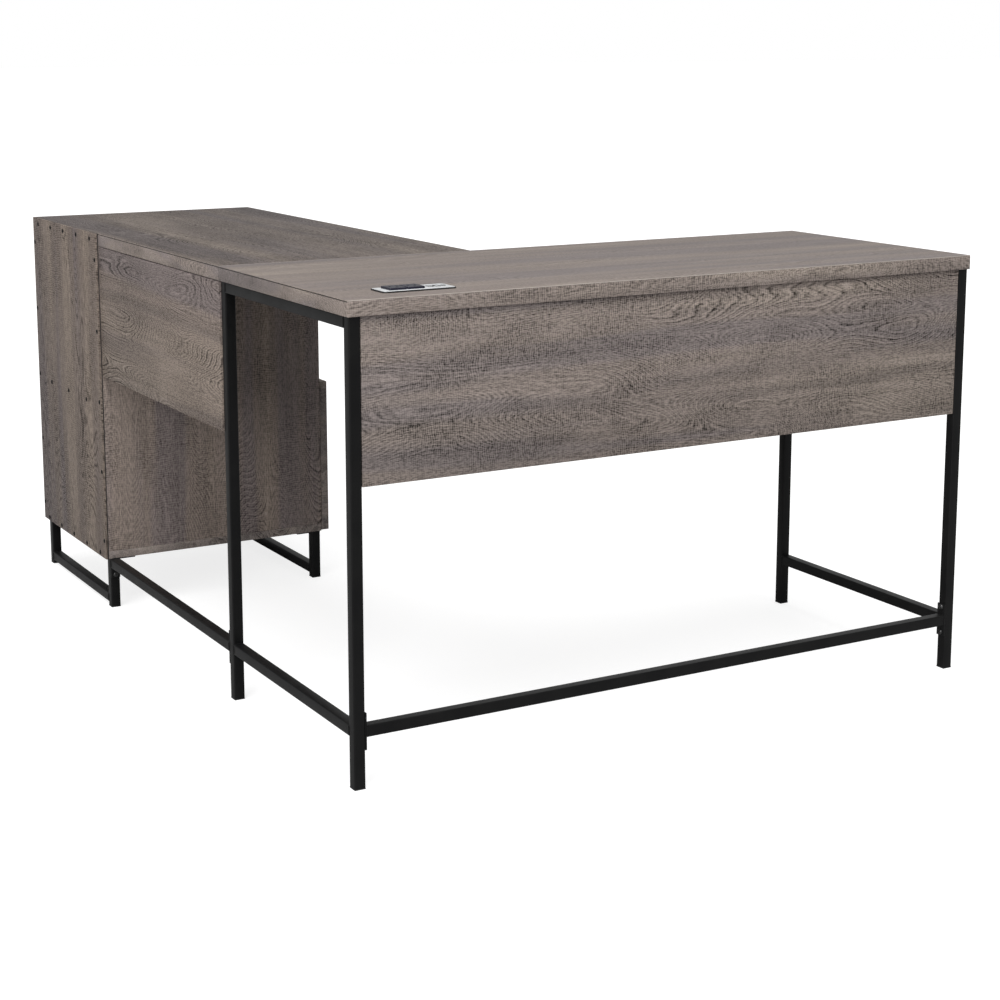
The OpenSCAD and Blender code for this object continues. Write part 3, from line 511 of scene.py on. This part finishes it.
def rail_welds(shape, low, high, axis):
    """Beads round both ends of a rail that runs along one axis, between two posts."""
    inset = tube_corner
    sides = [i for i in range(3) if i != axis]
    for end in (low[axis], high[axis]):
        for side, other in (sides, sides[::-1]):
            for level in (low[side], high[side]):
                a, b = Vector(low), Vector(high)
                a[axis] = b[axis] = end
                a[side] = b[side] = level
                a[other] = low[other] + inset
                b[other] = high[other] - inset
                weld_bead(shape, a, b)


def end_frame(name, node):
    low, high = (Vector(c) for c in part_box(node))
    shape = bmesh.new()
    for y in (low.y, high.y - tube):
        square_tube(shape, (low.x, y, low.z), (high.x, y + tube, high.z))
    for z in (low_rail_z / 1000, high.z - tube):
        a = Vector((low.x, low.y + tube, z))
        b = Vector((high.x, high.y - tube, z + tube))
        square_tube(shape, a, b)
        rail_welds(shape, a, b, 1)
    finish_piece(name, shape, [coat], "desk", [node])


end_frame("left_welded_frame", "left_end_frame")
end_frame("right_welded_frame", "right_end_frame")


def foot_caps(name, node, spots, plug_top):
    """Flanged plastic plugs: a pad with an eased rim, the plug above it, and a raised foot."""
    shape = bmesh.new()
    wide, pad, tube_wall, foot_inset, foot = 19, 2.5, 1.7, 5, 0.4
    for x, y in spots:
        for inset, bottom, top, eased, steps in (
            (0, 0, pad, 0.0007, 2),
            (tube_wall, pad, plug_top, 0.0005, 1),
            (foot_inset, 0, foot, 0.0002, 1),
        ):
            far = wide - inset
            block(shape, at(x + inset, y + inset, bottom), at(x + far, y + far, top), eased, steps)
    finish_piece(name, shape, [cap_plastic], "desk", [node])


post_spots = [(x, y) for x in (3, 1198) for y in (3, 486)]
foot_caps("post_end_caps", "post_foot_caps", post_spots, 16.5)


def button_bolt(shape, place, out, radius=0.0052, rise=0.003):
    """A domed socket head whose flat face lies at place and whose crown points along out."""
    socket_and_rim = [(0.0, 0.55), (0.30, 0.55), (0.40, 1.0)]
    dome = [(0.62, 0.93), (0.82, 0.72), (0.96, 0.40), (1.0, 0.0)]
    turn = Matrix.Translation(place) @ Vector(out).to_track_quat("Z", "Y").to_matrix().to_4x4()
    verts = [
        shape.verts.new(turn @ Vector((radius * r, 0, rise * z)))
        for r, z in socket_and_rim + dome
    ]
    edges = [shape.edges.new(pair) for pair in zip(verts, verts[1:])]
    bmesh.ops.spin(
        shape, geom=verts + edges, cent=place, axis=Vector(out), angle=math.tau, steps=24,
        use_merge=True,
    )
    head = [vert for vert in shape.verts if (vert.co - place).length < radius * 1.5]
    bmesh.ops.remove_doubles(shape, verts=head, dist=1e-6)


plate_ease = 0.0006
low_rail_top = low_rail_z + 19
plate_z = low_rail_z + 9.5
end_plate_low, end_plate_high = plate_z - 30, plate_z + 30
bolt_low, bolt_high = plate_z - 23.5, plate_z + 23.5

visitor = bmesh.new()
visitor_low, visitor_high = at(25, 3, low_rail_z), at(1195, 22, low_rail_top)
square_tube(visitor, visitor_low, visitor_high)
for x in (22, 1195):
    block(visitor, at(x, 3, end_plate_low), at(x + 3, 22, end_plate_high), plate_ease)
rail_welds(visitor, visitor_low, visitor_high, 0)
finish_piece("visitor_side_stretcher", visitor, [coat], "desk", ["visitor_stretcher"])

return_run = bmesh.new()
run_low, run_high = at(3, 508, low_rail_z), at(22, 1137, low_rail_top)
square_tube(return_run, run_low, run_high)
block(return_run, at(3, 505, end_plate_low), at(22, 508, end_plate_high), plate_ease)
block(return_run, at(3, 1137, end_plate_low), at(22, 1140, low_rail_top), plate_ease)
rail_welds(return_run, run_low, run_high, 1)
finish_piece("return_side_stretcher", return_run, [coat], "desk", ["return_stretcher"])

bolt_steel = black_coat("black_bolt_steel")
bolt_steel.node_tree.nodes["Principled BSDF"].inputs["Specular IOR Level"].default_value = 0.9
bolts = bmesh.new()
for z in (bolt_low, bolt_high):
    button_bolt(bolts, at(25, 12.5, z), (1, 0, 0))
    button_bolt(bolts, at(1195, 12.5, z), (-1, 0, 0))
    button_bolt(bolts, at(12.5, 508, z), (0, 1, 0))
button_bolt(bolts, at(12.5, 1137, bolt_low), (0, -1, 0))
finish_piece("stretcher_button_bolts", bolts, [bolt_steel], "desk", ["stretcher_bolts"])
refinish("frame_top_screws", bolt_steel)


# ---------------------------------------------------------------------------
# Modesty panels: 16 mm laminated boards hung from the tops, with level grain.
# The return's panel lies proud of the steel post, and a dark joint line shows
# between it and the top.
def panel(name, node, oak, gap=0.0):
    shape = bmesh.new()
    low, high = (Vector(c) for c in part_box(node))
    block(shape, low, high - Vector((0, 0, gap)), board_ease)
    finish_piece(name, shape, [oak], "desk", [node])


# tints: painted light on the visitor-side panel, painted shade on the return's panel
oak_visitor = grey_oak(
    "grey_oak_main_modesty", ("X", "Z", "Y"), (11.2, 6.3, 2.0),
    depth=1.30, figure=0.85, tint=1.13, warm=1.02,
)
oak_return_panel = grey_oak(
    "grey_oak_return_modesty", ("Y", "Z", "X"), (17.9, 9.4, 3.3),
    depth=1.20, tint=0.94, warm=1.05, coarse=1.2,
)
panel("main_modesty_board", "main_modesty_panel", oak_visitor)
panel("return_modesty_board", "return_modesty_panel", oak_return_panel, gap=0.0014)


# ---------------------------------------------------------------------------
# Pedestal: 16 mm laminated boards on cam locks, with upright grain on the
# sides and on the 6 mm back panel, which has dark screws and a dark 2 mm strip on
# its inner side, painted shadow of the gap at its edge.
# tints: painted light on the pedestal sides, painted shade on the back panel
oak_side = grey_oak(
    "grey_oak_pedestal_side", ("Z", "X", "Y"), (5.5, 2.2, 7.7),
    depth=1.05, tint=1.14, warm=1.05, coarse=1.2,
)
oak_back = grey_oak(
    "grey_oak_pedestal_back", ("Z", "Y", "X"), (9.1, 8.4, 4.2),
    depth=1.05, tint=0.755, warm=1.06, coarse=1.2,
)
oak_level = grey_oak("grey_oak_level_boards", ("Y", "X", "Z"), (2.9, 6.1, 8.8))
panel("pedestal_near_board", "pedestal_near_side", oak_side)
panel("pedestal_far_board", "pedestal_far_side", oak_side)
panel("pedestal_bottom_board", "pedestal_bottom", oak_level)
panel("pedestal_shelf_board", "pedestal_shelf", oak_level)

back_low, back_high = (Vector(c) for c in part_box("pedestal_back"))
# the 2 mm next to the inner face is dark all round: painted shadow of the gap between this panel's edge
# and the return's modesty panel
shadow_strip_x = back_high.x - 0.0022
back = bmesh.new()
block(back, back_low, back_high, 0.0004)
bmesh.ops.bisect_plane(
    back, geom=back.verts[:] + back.edges[:] + back.faces[:],
    plane_co=(shadow_strip_x, 0, 0), plane_no=(1, 0, 0), dist=1e-6,
)
for face in back.faces:
    if face.calc_center_median().x > shadow_strip_x:
        face.material_index = 1
finish_piece("pedestal_back_panel", back, [oak_back, glue_line_and_painted_shade], "desk", ["pedestal_back"])

screw_black = black_coat("black_screw_finish")
screw_black.node_tree.nodes["Principled BSDF"].inputs["Specular IOR Level"].default_value = 0.1
outer_face_x = -6.0
top_and_bottom_rows = [(1174 + i * 85, z) for i in range(5) for z in (749.5, 110)]
shelf_row = [(1344 + i * 115.36, 417) for i in (-1, 0, 1)]
side_rows = [(y, 139 + i * 142.5) for i in range(5) for y in (1146, 1542)]
heads = bmesh.new()
for y, z in top_and_bottom_rows + shelf_row + side_rows:
    button_bolt(heads, at(outer_face_x, y, z), (-1, 0, 0), radius=0.0046, rise=0.0012)
finish_piece("back_panel_screw_heads", heads, [screw_black], "desk", ["back_panel_screws"])


def cam_disc(shape, face, into, radius=0.0075, deep=0.0125, proud=0.0003):
    """A zinc cam in its pocket, with a sunk driver socket; into points into the board."""
    into = Vector(into)
    turn = (-into).to_track_quat("Z", "Y").to_matrix().to_4x4()
    centre = Vector(face) + into * (deep - proud) / 2
    made = bmesh.ops.create_cone(
        shape, cap_ends=True, segments=32, radius1=radius, radius2=radius,
        depth=deep + proud, matrix=Matrix.Translation(centre) @ turn,
    )["verts"]
    caps = [f for f in {f for v in made for f in v.link_faces} if len(f.verts) == 32]
    cap = max(caps, key=lambda f: -(f.calc_center_median() - centre).dot(into))
    bmesh.ops.inset_region(shape, faces=[cap], thickness=radius * 0.62)
    pit = bmesh.ops.extrude_face_region(shape, geom=[cap])["geom"]
    bottom = [v for v in pit if isinstance(v, bmesh.types.BMVert)]
    bmesh.ops.translate(shape, vec=into * 0.002, verts=bottom)
    bmesh.ops.delete(shape, geom=[cap], context="FACES_ONLY")


cam_zinc = zinc_steel("cam_zinc", "Z")
side_cam_levels = (142, 713)
shelf_underside, shelf_cam_inset = 409, 24
cams = bmesh.new()
for x in (60, 411):
    for side_y, into in ((1154, -1), (1534, 1)):
        for z in side_cam_levels:
            cam_disc(cams, at(x, side_y, z), (0, into, 0))
        cam_disc(cams, at(x, side_y - into * shelf_cam_inset, shelf_underside), (0, 0, 1))
finish_piece("cam_discs", cams, [cam_zinc], "desk", ["cam_locks"])
refinish("cam_bolts", cam_zinc)


def beech_wood(name):
    made, tree, surface = blank_finish(name)
    place = shader(tree, "TexCoord").outputs["Object"]
    grain = noise(tree, place, 180.0, 4.0, 0.6, 0.4)
    tint = mix(tree, ease(tree, grain, 0.3, 0.7), (0.48, 0.31, 0.17, 1), (0.66, 0.47, 0.28, 1))
    tree.links.new(tint, surface.inputs["Base Color"])
    surface.inputs["Roughness"].default_value = 0.7
    return made


refinish("wood_dowels", beech_wood("fluted_beech"))


# ---------------------------------------------------------------------------
# Sled legs: two welded loops of the same square tube under the pedestal, with
# flat screw tabs on top and plastic pads below.
def sled_leg(name, node, x, tab_from, tab_to):
    pad_top, tube_top, tab_top = 2.5, 99.5, 102
    shape = bmesh.new()
    for y in (1140, 1529):
        square_tube(shape, at(x, y, pad_top), at(x + 19, y + 19, tube_top))
        block(shape, at(tab_from, y, tube_top), at(tab_to, y + 19, tab_top), plate_ease)
    rail_low, rail_high = at(x, 1159, 8), at(x + 19, 1529, 27)
    square_tube(shape, rail_low, rail_high)
    rail_welds(shape, rail_low, rail_high, 1)
    finish_piece(name, shape, [coat], "desk", [node])


sled_leg("rear_sled_loop", "rear_sled_leg", 3, 3, 56)
sled_leg("front_sled_loop", "front_sled_leg", 449, 415, 468)
sled_spots = [(x, y) for x in (3, 449) for y in (1140, 1529)]
foot_caps("sled_end_caps", "sled_foot_caps", sled_spots, 7.5)
refinish("sled_screws", bolt_steel)


# ---------------------------------------------------------------------------
# Drawer: a white melamine box on a laminated front, with zinc hanging-file
# rails and a square black bar pull.
def white_melamine(name):
    made, tree, surface = blank_finish(name)
    place = shader(tree, "TexCoord").outputs["Object"]
    speck = noise(tree, place, 700.0, 2.0)
    cloud = noise(tree, place, 9.0, 3.0)
    tint = mix(tree, ease(tree, cloud, 0.3, 0.7), (0.66, 0.645, 0.61, 1), (0.73, 0.715, 0.68, 1))
    tree.links.new(tint, surface.inputs["Base Color"])
    tree.links.new(ease(tree, speck, 0.3, 0.7, 0.42, 0.55), surface.inputs["Roughness"])
    bump = shader(tree, "Bump", {"Height": speck, "Strength": 0.12, "Distance": 0.0001})
    tree.links.new(bump.outputs[0], surface.inputs["Normal"])
    return made


melamine = white_melamine("white_melamine")
for name, node in (
    ("drawer_near_board", "drawer_near_side"),
    ("drawer_far_board", "drawer_far_side"),
    ("drawer_back_board", "drawer_back"),
    ("drawer_box_front_board", "drawer_box_front"),
    ("drawer_bottom_sheet", "drawer_bottom"),
):
    shape = bmesh.new()
    block(shape, *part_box(node), 0.0006)
    finish_piece(name, shape, [melamine], "drawer", [node])

oak_front = grey_oak("grey_oak_drawer_front", ("Y", "Z", "X"), (23.0, 3.6, 5.1))
front = bmesh.new()
block(front, *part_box("drawer_front"), board_ease)
finish_piece("drawer_front_board", front, [oak_front], "drawer", ["drawer_front"])

pull = bmesh.new()
pull_low, pull_high = (Vector(c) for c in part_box("drawer_pull"))
bar = pull_high.z - pull_low.z
pull_ease = 0.0012
leg_end = pull_high.x - bar * 0.4
block(pull, (pull_high.x - bar, pull_low.y, pull_low.z), pull_high, pull_ease, 3)
for y in (pull_low.y, pull_high.y - bar):
    block(pull, (pull_low.x, y, pull_low.z), (leg_end, y + bar, pull_high.z), pull_ease, 3)
finish_piece("drawer_bar_pull", pull, [coat], "drawer", ["drawer_pull"])

rail_zinc = zinc_steel("rail_zinc", "X")
for node in ("file_rails", "drawer_box_screws", "drawer_front_screws", "pull_screws"):
    refinish(node, rail_zinc)


# ---------------------------------------------------------------------------
# Slides: rolled zinc-plated steel channels that telescope on ball bearings.
# A cage of steel balls runs in each race, and rides on the middle channel.
for node in (
    "near_cabinet_slide", "far_cabinet_slide", "near_middle_slide", "far_middle_slide",
    "near_drawer_slide", "far_drawer_slide", "cabinet_slide_screws", "drawer_slide_screws",
):
    refinish(node, rail_zinc)

polished = zinc_steel("polished_ball_steel", "Z")
slide_z = 214
ball_count, ball_pitch, ball_radius = 26, 11, 0.0011
outer_race, inner_race = (20.0, 6.5), (16.2, 7.6)
cages = bmesh.new()
for wall, inward in ((1154, 1), (1534, -1)):
    for rise, off_wall in (outer_race, inner_race):
        for side in (-1, 1):
            y = wall + inward * off_wall
            z = slide_z + side * rise
            for i in range(ball_count):
                bmesh.ops.create_icosphere(
                    cages, subdivisions=2, radius=ball_radius,
                    matrix=Matrix.Translation(at(180 + i * ball_pitch, y, z)),
                )
            for strip in (-1.4, 1.4):
                strip_low = at(174, y + strip - 0.15, z - 0.45)
                strip_high = at(462, y + strip + 0.15, z + 0.45)
                block(cages, strip_low, strip_high, 0.00005, 1)
finish_piece("ball_cages", cages, [polished], "slide_middles")


# ---------------------------------------------------------------------------
# Power unit: a light grey plate with a dark gasket line, two dark receptacles
# and three ports, over a moulded black housing with a cable gland below. It
# drops into the main top's cut-out and is held there by two sprung clips.
def satin_grey(name):
    made, tree, surface = blank_finish(name)
    place = shader(tree, "TexCoord").outputs["Object"]
    spark = noise(tree, place, 1500.0, 2.0)
    cloud = noise(tree, place, 30.0, 2.0)
    tint = mix(tree, ease(tree, cloud, 0.3, 0.7), (0.56, 0.57, 0.58, 1), (0.66, 0.67, 0.68, 1))
    tree.links.new(tint, surface.inputs["Base Color"])
    tree.links.new(ease(tree, spark, 0.3, 0.7, 0.30, 0.42), surface.inputs["Roughness"])
    bump = shader(tree, "Bump", {"Height": spark, "Strength": 0.1, "Distance": 0.0001})
    tree.links.new(bump.outputs[0], surface.inputs["Normal"])
    return made


def rounded_block(shape, low, high, corner_radius, rim, material=0):
    """A low slab with round upright corners and an eased top rim."""
    low, high = Vector(low), Vector(high)
    made = bmesh.ops.create_cube(shape, size=1.0)["verts"]
    bmesh.ops.scale(shape, vec=high - low, verts=made)
    bmesh.ops.translate(shape, vec=(low + high) / 2, verts=made)
    upright = [
        edge for edge in {e for v in made for e in v.link_edges}
        if abs(edge.verts[0].co.z - edge.verts[1].co.z) > 1e-6
    ]
    made = bmesh.ops.bevel(
        shape, geom=upright, offset=corner_radius, offset_type="OFFSET", affect="EDGES",
        segments=6, profile=0.5, material=-1,
    )["verts"]
    top_face = next(
        f for f in {f for v in made for f in v.link_faces}
        if len(f.verts) > 4 and f.calc_center_median().z > high.z - 1e-6
    )
    for face in {f for v in made for f in v.link_faces}:
        face.material_index = material
    bmesh.ops.bevel(
        shape, geom=list(top_face.edges), offset=rim, offset_type="OFFSET", affect="EDGES",
        segments=3, profile=0.5, material=-1,
    )


def sink(shape, low, high, deep):
    """Press a rectangular pocket down from the height of two corners of its mouth."""
    def flat_faces():
        return [f for f in shape.faces if all(abs(v.co.z - high.z) < 1e-6 for v in f.verts)]

    for spot, normal in ((low, (1, 0, 0)), (high, (1, 0, 0)), (low, (0, 1, 0)), (high, (0, 1, 0))):
        flat = flat_faces()
        geom = flat + list({e for f in flat for e in f.edges} | {v for f in flat for v in f.verts})
        bmesh.ops.bisect_plane(shape, geom=geom, plane_co=spot, plane_no=normal, dist=1e-7)
    mouth = [
        f for f in flat_faces()
        if low.x < f.calc_center_median().x < high.x and low.y < f.calc_center_median().y < high.y
    ]
    pit = bmesh.ops.extrude_face_region(shape, geom=mouth)["geom"]
    bottom = [v for v in pit if isinstance(v, bmesh.types.BMVert)]
    bmesh.ops.translate(shape, vec=(0, 0, -deep), verts=bottom)
    bmesh.ops.delete(shape, geom=[f for f in mouth if f.is_valid], context="FACES_ONLY")


plate_grey = satin_grey("satin_grey_plate")
plate_low, plate_high = (Vector(c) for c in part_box("power_faceplate"))
plate_corner, gasket = 0.007, 0.0016
plate = bmesh.new()
base_high = plate_high - Vector((0, 0, 0.0004))
rounded_block(plate, plate_low, base_high, plate_corner, 0.0005)
rim = Vector((gasket, gasket, 0))
inlay_low = Vector((plate_low.x, plate_low.y, plate_high.z - 0.0006)) + rim
rounded_block(plate, inlay_low, plate_high - rim, 0.0056, 0.0002, 1)
finish_piece("power_plate", plate, [cap_plastic, plate_grey], "desk", ["power_faceplate"])

socket_finish = moulded_black("navy_black_socket", 0.012, 2.0, 0.22)
left_blade, right_blade, earth = (-7.35, -2, -5.35, 5), (5.35, -2, 7.35, 5), (-1.8, -10.8, 1.8, -7.2)
blade_depth = 0.009
for name, node in (("left_receptacle", "left_ac_socket"), ("right_receptacle", "right_ac_socket")):
    low, high = (Vector(c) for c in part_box(node))
    middle = (low + high) / 2
    shape = bmesh.new()
    rounded_block(shape, low, high, 0.0015, 0.0008)
    for x0, y0, x1, y1 in (left_blade, right_blade, earth):
        mouth_low = Vector((middle.x + x0 / 1000, middle.y + y0 / 1000, high.z))
        mouth_high = Vector((middle.x + x1 / 1000, middle.y + y1 / 1000, high.z))
        sink(shape, mouth_low, mouth_high, blade_depth)
    finish_piece(name, shape, [socket_finish], "desk", [node])

port_finish = moulded_black("black_port_plastic", 0.004, 1.0, -0.35)
port_finish.node_tree.nodes["Principled BSDF"].inputs["Specular IOR Level"].default_value = 0.02
port_row, port_bottom, port_top, port_depth = 73.5, 752, 764.9, 0.007
port_wall = Vector((0.0012, 0.0012, 0))
tongue_foot, tongue_rise = 757, Vector((0, 0, 0.0055))
ports = bmesh.new()
for x0, x1, wide in ((171, 180, 15), (183, 192, 15), (195.5, 202.5, 8)):
    low, high = at(x0, port_row - wide / 2, port_bottom), at(x1, port_row + wide / 2, port_top)
    rounded_block(ports, low, high, 0.0012, 0.0003)
    sink(ports, Vector((low.x, low.y, high.z)) + port_wall, high - port_wall, port_depth)
    tongue = at((x0 + x1) / 2, port_row, tongue_foot)
    half = Vector((0.0009, wide * 0.00026, 0))
    block(ports, tongue - half, tongue + half + tongue_rise, 0.0002, 1)
finish_piece("charging_ports", ports, [port_finish], "desk", ["usb_ports"])
for node in ("power_housing", "power_cord_gland"):
    refinish(node, cap_plastic)
refinish("power_clamps", zinc_plate)
